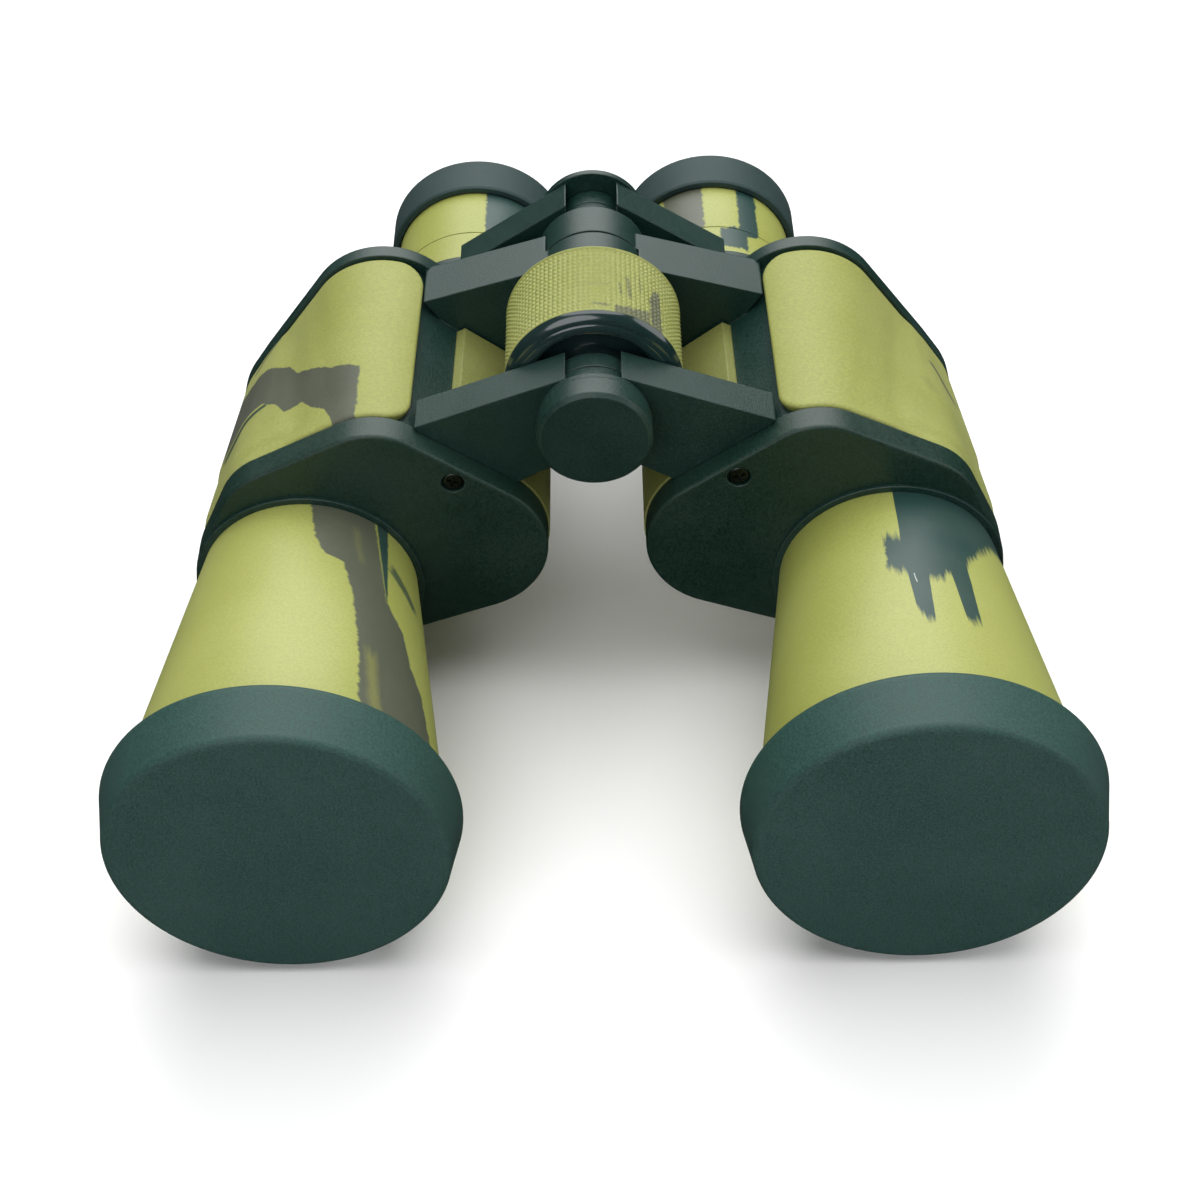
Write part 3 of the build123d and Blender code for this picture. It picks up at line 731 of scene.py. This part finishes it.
wheelPaint = (
    [
        area(
            "brownGrey",
            "around",
            [(38, -6), (52, -6)],
            [(38, 2.5), (43, 8.5), (48, 9.5), (52, 1)],
            39.5,
            51,
            1.6,
            0.5,
            0.85,
            wheelRound,
        ),
        area(
            "brownGrey",
            "around",
            [(12, -6), (40, -6)],
            [(12, -1.6), (24, -0.8), (40, 0.4)],
            14,
            40,
            1.2,
            0.5,
            0.8,
            wheelRound,
        ),
    ],
    [
        smear("brownGrey", (-4, 5.2), (13, 5.2), 0.9, 0.5, 2.0, 0.5, 0.5, wheelRound),
        smear("brownGrey", (-4, 6.7), (6, 6.7), 0.5, 0.5, 2.0, 0.5, 0.4, wheelRound),
        smear("brownGrey", (18, 6.5), (19, 2.0), 0.6, 0.4, 2.0, 0.3, 0.75, wheelRound),
        smear("brownGrey", (23, 9.5), (26, 1.5), 1.2, 0.6, 3.0, 0.4, 0.6, wheelRound),
        smear("brownGrey", (33, 10), (33, 5), 0.8, 0.5, 2.0, 0.4, 0.6, wheelRound),
        smear("brownGrey", (0, -1.6), (12, -1.9), 0.9, 0.4, 2.0, 0.4, 0.6, wheelRound),
        smear("brownGrey", (150, 9), (200, -2), 9.0, 3.0, 4.0, 0.6, 0.9, wheelRound),
    ],
)
print("materials made")


def coat(node, material):
    target = cadNodes[node]
    target.data.materials.clear()
    target.data.materials.append(material)


plainFinish = {
    "prism_housing": darkPlastic,
    "front_plate": platePlastic,
    "rear_plate": darkPlastic,
    "barrel_joint_ring": darkPlastic,
    "objective_crown_lens": lensGlass,
    "objective_flint_lens": lensGlass,
    "objective_retaining_ring": anodised,
    "rear_prism": prismGlass,
    "front_prism": prismGlass,
    "prism_clips": steel,
    "prism_shelf": anodised,
    "cover_screws": darkSteel,
    "eyepiece_guide": anodised,
    "objective_cap": capPlastic,
    "ocular_arm": darkPlastic,
    "eyepiece_cell": anodised,
    "field_lens": lensGlass,
    "eye_lens": lensGlass,
    "lens_spacer": anodised,
    "cell_retaining_ring": anodised,
    "eyecup": cupRubber,
}
centreFinish = {
    "tripod_socket_pin": brass,
    "hinge_tube": anodised,
    "focus_wheel": wheelPlastic,
    "focus_spindle": steel,
    "ocular_bridge_disc": darkPlastic,
    "hinge_cap": darkPlastic,
}
paintFinish = {"roughness": 0.46, "grain": 0.3, "depth": 0.04, "toneAndPaintedShade": 1.0}
rubberFinish = {"roughness": 0.6, "grain": 0.45, "depth": 0.05, "toneAndPaintedShade": 0.86}
armourCoats = {}


def alignedAxis(node):
    # a point on the piece's axis, level with the middle of the whole
    place = axisOf(node)
    return Vector((place.x, middle.y, place.z))


# the inner armour rubber is darkened to 0.6 because those sides lie in shade: painted shade
innerShadedLook = {"axis": None, "radius": None, **rubberFinish, "toneAndPaintedShade": 0.6}
innerRubberPaintedShade = camouflageCoat("innerArmourRubberPaintedShade", innerShadedLook, [], [])
wheelLook = {"axis": alignedAxis("focus_wheel_grip"), "radius": paintRadius["wheel"], **rubberFinish}
wheelCoat = camouflageCoat("wheelGripRubber", wheelLook, *wheelPaint)
coat("focus_wheel_grip", wheelCoat)
for side in halves:
    for part, material in plainFinish.items():
        coat(f"{side}_{part}", material)
    barrelAxis = alignedAxis(f"{side}_objective_barrel")
    barrelLook = {"axis": barrelAxis, "radius": paintRadius["barrel"], **paintFinish}
    headLook = {"axis": alignedAxis(f"{side}_eyecup"), "radius": paintRadius["head"], **paintFinish}
    armourLook = {"axis": None, "radius": None, **rubberFinish}
    headCoat = camouflageCoat(f"{side}EyepieceCoat", headLook, *headPaint[side])
    coat(f"{side}_objective_barrel", camouflageCoat(f"{side}BarrelCoat", barrelLook, *barrelPaint[side]))
    coat(f"{side}_eyepiece_tube", headCoat)
    coat("left_eyepiece_head" if side == "left" else "right_dioptre_ring", headCoat)
    armourCoats[side] = camouflageCoat(f"{side}ArmourRubber", armourLook, *armourPaintAndShadow[side])
    coat(f"{side}_outer_armour", armourCoats[side])
    coat(f"{side}_inner_armour", innerRubberPaintedShade)
for node, material in centreFinish.items():
    coat(node, material)
print("carried-over parts finished")


def addMesh(name, verts, faces, material, body, node, smoothFaces):
    mesh = bpy.data.meshes.new(name)
    mesh.from_pydata(verts, [], faces)
    mesh.materials.append(material)
    for polygon in mesh.polygons:
        polygon.use_smooth = smoothFaces[polygon.index]
    mesh.validate()
    mesh.update()
    made = bpy.data.objects.new(name, mesh)
    bpy.context.scene.collection.objects.link(made)
    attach(made, body)
    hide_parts(node)


knurl = {
    "rows": 16,
    "around": 108,
    "depth": 0.42,
    "rimWidth": 0.45,
    "step": 0.1,  # from the rim down to the first valley
    "wall": 1.55,
    "chamfer": 0.2,
}


def buildKnurledGrip():
    node = "focus_wheel_grip"
    low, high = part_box(node)
    axis = (low + high) / 2
    radius = (high.x - low.x) / 2 / mm
    count = knurl["around"]
    front, rear = low.y / mm, high.y / mm
    verts, faces, smooth = [], [], []

    def addRing(r, y, shift=0.0):
        first = len(verts)
        for k in range(count):
            turn = 2 * math.pi * (k + shift) / count
            verts.append((axis.x + r * mm * math.sin(turn), y * mm, axis.z + r * mm * math.cos(turn)))
        return first

    def joinRings(a, b, soft=True):
        for k in range(count):
            after = (k + 1) % count
            faces.append((a + k, a + after, b + after, b + k))
            smooth.append(soft)

    inner = radius - knurl["wall"]
    valley = radius - knurl["depth"]
    edge = knurl["chamfer"]
    rim = knurl["rimWidth"]
    outline = [(inner, front), (radius - edge, front), (radius, front + edge), (radius, front + rim)]
    rings = [addRing(r, y) for r, y in outline]
    rows = knurl["rows"]
    start, stop = front + rim + knurl["step"], rear - rim - knurl["step"]
    pitch = (stop - start) / rows
    valleys = [addRing(valley, start + pitch * row) for row in range(rows + 1)]
    for a, b in zip(rings, rings[1:] + valleys[:1]):
        joinRings(a, b)
    for row in range(rows):
        peaks = addRing(radius, start + pitch * (row + 0.5), 0.5)
        for k in range(count):
            after = (k + 1) % count
            a, b = valleys[row] + k, valleys[row] + after
            c, d = valleys[row + 1] + after, valleys[row + 1] + k
            for pair in ((a, b), (b, c), (c, d), (d, a)):
                faces.append((*pair, peaks + k))
                smooth.append(False)
    tail = [(radius, rear - rim), (radius, rear - edge), (radius - edge, rear), (inner, rear)]
    rings = valleys[-1:] + [addRing(r, y) for r, y in tail]
    for a, b in zip(rings, rings[1:]):
        joinRings(a, b)
    joinRings(rings[-1], 0)
    faces[:] = [face[::-1] for face in faces]
    addMesh("knurledGrip", verts, faces, wheelCoat, "focus_wheel", node, smooth)


buildKnurledGrip()
print("knurled sleeve made")


armour = {
    "frontDiscs": [  # outline from the hinge axis, in millimetres: sideways, up, radius
        (-58.4, -37.6, 23.3),
        (-34.5, -57.5, -7.0),
        (-26.8, -29.1, 17.0),
        (-43.5, -13.5, 13.8),
        (-60.5, -23.5, 15.3),
    ],
    "rearDiscs": [
        (-58.4, -37.6, 18.8),
        (-35.2, -55.5, -7.0),
        (-26.8, -29.1, 17.0),
        (-44.5, -13.5, 15.8),
        (-57.5, -31.0, 15.8),
    ],
    "innerEnd": (-36.4, -2.9),
    "underEnd": (-42.0, -61.0),
    "cornerRadius": 6.0,
    "edgeRound": 0.8,
    "proud": 0.28,  # how far it stands over the outline
    "bed": -1.4,  # how deep its underside lies in the housing
    "spacing": 1.0,
    "columns": 118,
    "step": 0.5,  # between points of the outline
    "inset": 0.08,
    "creaseAt": -60.2,  # soft lengthwise valley where the top turns into the side
    "creaseSlope": -0.12,
    "creaseDepth": 0.5,
    "creaseWidth": 2.6,
    "rimWidth": 4.4,  # flat rim along the front edge of the outer side
    "rimDepth": 0.75,
    "padFront": 6.6,  # thumb pad on the outer side
    "padTop": -66.5,
    "padRise": 0.4,
}


def armourOutline(part):
    # part runs from 0 at the front of the housing to 1 at its rear
    pairs = zip(armour["frontDiscs"], armour["rearDiscs"])
    discs = [tuple(a + (b - a) * part for a, b in zip(front, rear)) for front, rear in pairs]
    angles = []
    for (x1, z1, r1), (x2, z2, r2) in zip(discs, discs[1:] + discs[:1]):
        heading = math.atan2(z2 - z1, x2 - x1)
        angles.append(heading - math.acos((r1 - r2) / math.hypot(x2 - x1, z2 - z1)))
    corners = []
    for i, (x, z, r) in enumerate(discs):
        turn = (angles[i] - angles[i - 1]) % (2 * math.pi) - (2 * math.pi if r < 0 else 0)
        steps = max(3, math.ceil(abs(turn * r) / armour["step"]))
        for k in range(steps + 1):
            angle = angles[i - 1] + turn * k / steps
            corners.append(Vector((x + r * math.cos(angle), z + r * math.sin(angle))))
    line = []
    for a, b in zip(corners, corners[1:] + corners[:1]):
        steps = max(1, math.ceil((b - a).length / armour["step"]))
        line += [a.lerp(b, k / steps) for k in range(steps)]
    first, last = (
        min(range(len(line)), key=lambda i: (line[i] - Vector(armour[end])).length)
        for end in ("innerEnd", "underEnd")
    )
    count = (last - first) % len(line)
    return [line[(first + k) % len(line)] for k in range(count + 1)]


def smoothStep(value, low, high):
    t = min(1.0, max(0.0, (value - low) / (high - low)))
    return t * t * (3 - 2 * t)


def armourHeight(plan, along, y, edge, fromFront):
    # how far the rubber stands over the outline at this spot
    a = armour
    height = a["proud"]
    offset = plan - a["creaseAt"] - a["creaseSlope"] * y
    valley = math.exp(-((offset / a["creaseWidth"]) ** 2))
    height -= a["creaseDepth"] * valley * smoothStep(y, 36.0, 26.0) * smoothStep(fromFront, 1.0, 7.0)
    outward = smoothStep(plan, -56.0, -64.0)
    rim = smoothStep(fromFront, a["rimWidth"] + 1.2, a["rimWidth"] - 0.8)
    height -= a["rimDepth"] * rim * outward
    pad = smoothStep(y, a["padFront"] - 0.8, a["padFront"] + 0.8)
    pad *= smoothStep(plan, a["padTop"] + 1.5, a["padTop"] - 1.5)
    height += a["padRise"] * pad * smoothStep(along, 125.0, 100.0)
    rounding = a["edgeRound"]
    if edge < rounding:
        height -= rounding - math.sqrt(max(0.0, rounding**2 - (rounding - edge) ** 2))
    return height


def spread(start, end, fine, spacing):
    # positions packed closely at both ends
    inside = [start + f for f in fine] + [end - f for f in reversed(fine)]
    low, high = inside[len(fine) - 1], inside[len(fine)]
    steps = max(1, round((high - low) / spacing))
    between = [low + (high - low) * k / steps for k in range(1, steps)]
    return inside[: len(fine)] + between + inside[len(fine) :]


def buildArmour(side, sign):
    low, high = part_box(f"{side}_outer_armour")
    inset = armour["inset"]
    front, rear = low.y / mm + inset, high.y / mm - inset
    hinge = axisOf("hinge_cap")
    fine = [0.0, 0.1, 0.25, 0.5, 0.8, 1.4, 2.2]  # distances from an edge, closest where it is rounded
    rowSpots = spread(front, rear, fine + [3.1, 4.1, 5.1, 6.1], armour["spacing"])
    columns = armour["columns"]

    def spotAt(line, lengths, distance):
        total = lengths[-1]
        distance = min(max(distance, 0.0), total - 1e-6)
        i = next(k for k in range(1, len(lengths)) if lengths[k] > distance) - 1
        part = (distance - lengths[i]) / (lengths[i + 1] - lengths[i])
        before, after = line[max(0, i - 2)], line[min(len(line) - 1, i + 3)]
        heading = (after - before).normalized()
        return line[i].lerp(line[i + 1], part), Vector((heading.y, -heading.x))

    verts, grid = [], []
    corner = armour["cornerRadius"]
    for y in rowSpots:
        line = armourOutline((y - front) / (rear - front))
        lengths = [0.0]
        for a, b in zip(line, line[1:]):
            lengths.append(lengths[-1] + (b - a).length)
        total = lengths[-1]
        fromEnd = min(y - front, rear - y)
        cut = 0.0
        if fromEnd < corner:
            cut = corner - math.sqrt(max(0.0, corner**2 - (corner - fromEnd) ** 2))
        starting = [cut + inset + f for f in fine]
        ending = [total - inset - f for f in reversed(fine)]
        between = [starting[-1] + (ending[0] - starting[-1]) * k / columns for k in range(1, columns)]
        distances = starting + between + ending
        rowVerts = []
        for distance in distances:
            spot, outward = spotAt(line, lengths, distance)
            edge = min(fromEnd, distance, total - distance)
            if distance < corner and fromEnd < corner:
                edge = corner - math.hypot(corner - distance, corner - fromEnd)
            height = armourHeight(spot.x, distance, y, max(edge, 0.0), y - front)
            rowVerts.append((spot, outward, height, y))
        grid.append(rowVerts)

    def place(spot, outward, height, y):
        lifted = spot + outward * height
        verts.append((hinge.x - sign * lifted.x * mm, y * mm, hinge.z + lifted.y * mm))

    wide, tall = len(grid[0]), len(grid)
    for row in grid:
        for entry in row:
            place(*entry)
    for row in grid:
        for spot, outward, height, y in row:
            place(spot, outward, armour["bed"], y)
    faces, smooth = [], []
    under = wide * tall
    for j in range(tall - 1):
        for i in range(wide - 1):
            a, b = j * wide + i, j * wide + i + 1
            faces.append((a, b, b + wide, a + wide))
            faces.append((under + a, under + a + wide, under + b + wide, under + b))
            smooth += [True, True]
    border = list(range(wide)) + [j * wide + wide - 1 for j in range(1, tall)]
    border += [(tall - 1) * wide + i for i in range(wide - 2, -1, -1)]
    border += [j * wide for j in range(tall - 2, 0, -1)]
    for a, b in zip(border, border[1:] + border[:1]):
        faces.append((b, a, under + a, under + b))
        smooth.append(False)
    if sign > 0:
        faces = [face[::-1] for face in faces]
    name = f"{side}OuterArmour"
    node = f"{side}_outer_armour"
    addMesh(name, verts, faces, armourCoats[side], f"{side}_half", node, smooth)


for side, sign in halves.items():
    buildArmour(side, sign)
print("outer armour made")


room = {
    "floorSize": 6.0,
    "floorColour": (0.93, 0.93, 0.93),
    "floorPatches": (0.95, 0.95, 0.95),
    "ambient": 0.45,  # world light from the sides and above
    "below": 0.08,  # world light from under the floor
}
softboxes = {  # place from the middle of the whole, size across, watts
    "topSoftbox": {"offset": (0.0, 0.1, 1.1), "size": 1.6, "power": 17.0},
    "rightSoftbox": {"offset": (1.2, -0.3, 0.6), "size": 1.0, "power": 5.0},
    "backSoftbox": {"offset": (0.0, 1.2, 0.95), "size": 1.5, "power": 17.0},
    "frontSoftbox": {"offset": (-0.45, -1.3, 0.75), "size": 1.2, "power": 9.0},
}


def buildRoom():
    mesh = bpy.data.meshes.new("floor")
    half = room["floorSize"] / 2
    corners = [(-half, -half, 0), (half, -half, 0), (half, half, 0), (-half, half, 0)]
    mesh.from_pydata(corners, [], [(0, 1, 2, 3)])
    floor = bpy.data.objects.new("floor", mesh)
    bpy.context.scene.collection.objects.link(floor)
    material, tree, shader, place = startMaterial("paleFloor", Roughness=0.9)
    soft = mixColour(tree, noise(tree, place, 3.0), room["floorColour"], room["floorPatches"])
    tree.links.new(soft, shader.inputs["Base Color"])
    mesh.materials.append(material)
    floor.visible_glossy = False
    world = bpy.data.worlds.new("softRoom")
    world.use_nodes = True
    tree = world.node_tree
    glow = tree.nodes["Background"]
    toCamera = addNode(tree, "ShaderNodeLightPath").outputs["Is Camera Ray"]
    heading = addNode(tree, "ShaderNodeTexCoord").outputs["Generated"]
    upward = addNode(tree, "ShaderNodeSeparateXYZ", {0: heading}).outputs["Z"]
    around = remap(tree, upward, -0.25, 0.15, room["below"], room["ambient"])
    shown = addNode(tree, "ShaderNodeMix", {0: toCamera, 2: around, 3: 1.0}, data_type="FLOAT")
    tree.links.new(shown.outputs[0], glow.inputs["Strength"])
    bpy.context.scene.world = world


def addSoftbox(name, offset, size, power):
    place = middle + Vector(offset)
    light = bpy.data.lights.new(name, "AREA")
    light.shape = "DISK"
    light.size = size
    light.energy = power
    holder = bpy.data.objects.new(name, light)
    holder.location = place
    holder.rotation_mode = "QUATERNION"
    holder.rotation_quaternion = (middle - place).to_track_quat("-Z", "Y")
    bpy.context.scene.collection.objects.link(holder)


view = {
    "offset": (0.00277, -0.3496883, 0.2950193),  # from the middle of the whole
    "yaw": -2.3143,
    "pitch": -42.5995,
    "roll": -2.6989,
    "lens": 66.603,
    "shift": (0.04536, -0.02519),
    "clip": (0.01, 50.0),
}


def addCamera():
    yaw, pitch, roll = (math.radians(view[k]) for k in ("yaw", "pitch", "roll"))
    ahead = Vector((math.sin(yaw) * math.cos(pitch), math.cos(yaw) * math.cos(pitch), math.sin(pitch)))
    level = Vector((math.cos(yaw), -math.sin(yaw), 0))
    upright = level.cross(ahead)
    right = math.cos(roll) * level + math.sin(roll) * upright
    up = math.cos(roll) * upright - math.sin(roll) * level
    data = bpy.data.cameras.new("camera")
    data.lens = view["lens"]
    data.sensor_width = 36.0
    data.shift_x, data.shift_y = view["shift"]
    data.clip_start, data.clip_end = view["clip"]
    camera = bpy.data.objects.new("camera", data)
    turn = Matrix((right, up, -ahead)).transposed().to_4x4()
    camera.matrix_world = Matrix.Translation(middle + Vector(view["offset"])) @ turn
    bpy.context.scene.collection.objects.link(camera)
    bpy.context.scene.camera = camera


buildRoom()
for name, box in softboxes.items():
    addSoftbox(name, **box)
addCamera()
bpy.context.scene.view_settings.view_transform = "Standard"
print("room, light and camera made")
